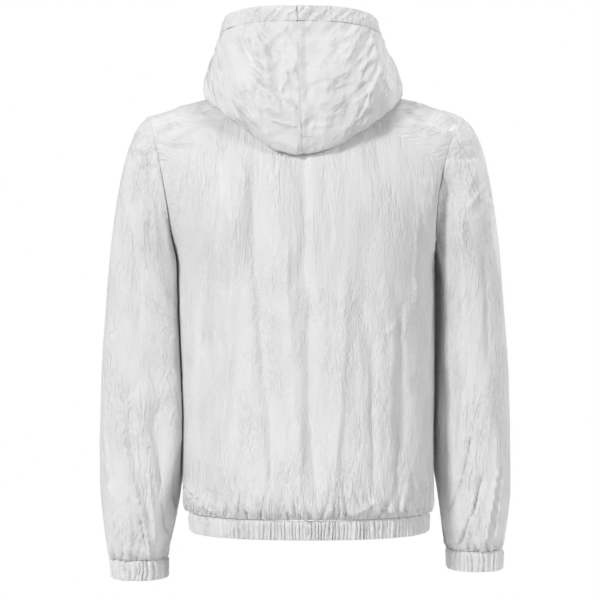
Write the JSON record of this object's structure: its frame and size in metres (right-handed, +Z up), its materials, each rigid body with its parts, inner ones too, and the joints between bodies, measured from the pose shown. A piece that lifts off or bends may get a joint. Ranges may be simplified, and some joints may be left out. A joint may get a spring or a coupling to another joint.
{
  "type": "anorak",
  "caption": "Hooded anorak of thin crinkled nylon, filled out as if worn, with its hood laid back, a half zip, an elastic hem band and elastic cuffs.",
  "frame": {"origin": "middle of the neck, at the height of the two shoulder neck points and in line with the shoulder seams, where the wearer's shoulders hold the garment", "axes": "+Z up, the front faces -Y and the back +Y, and the wearer's left is +X"},
  "size_m": [0.6173, 0.2615, 0.842],
  "materials": {
    "nylon": "white crinkled woven nylon, slightly translucent, soft sheen",
    "gathered_nylon": "the same white nylon gathered into fine pleats over elastic",
    "zip_tape": "white woven tape, matt",
    "zip_metal": "grey-white metal, satin"
  },
  "bodies": {
    "garment": {"back": "nylon", "front": "nylon", "sleeve_left": "nylon", "sleeve_right": "nylon", "cuff_left": "gathered_nylon", "cuff_right": "gathered_nylon", "hem_band": "gathered_nylon", "hood_left": "nylon", "hood_right": "nylon", "hood_casing_left": "gathered_nylon", "hood_casing_right": "gathered_nylon", "zip_tape_left": "zip_tape", "zip_tape_right": "zip_tape", "zip_chain": "zip_metal", "zip_stop": "zip_metal", "zip_slider": "zip_metal"},
    "pull_tab": {"zip_pull": "zip_metal"}
  },
  "joints": [
    {"name": "pull_tab_swing", "type": "hinge", "parent": "garment", "child": "pull_tab", "pos_m": [0, -0.09376, -0.02038], "axis": [-1, 0, 0], "range_deg": [0, 165]}
  ]
}
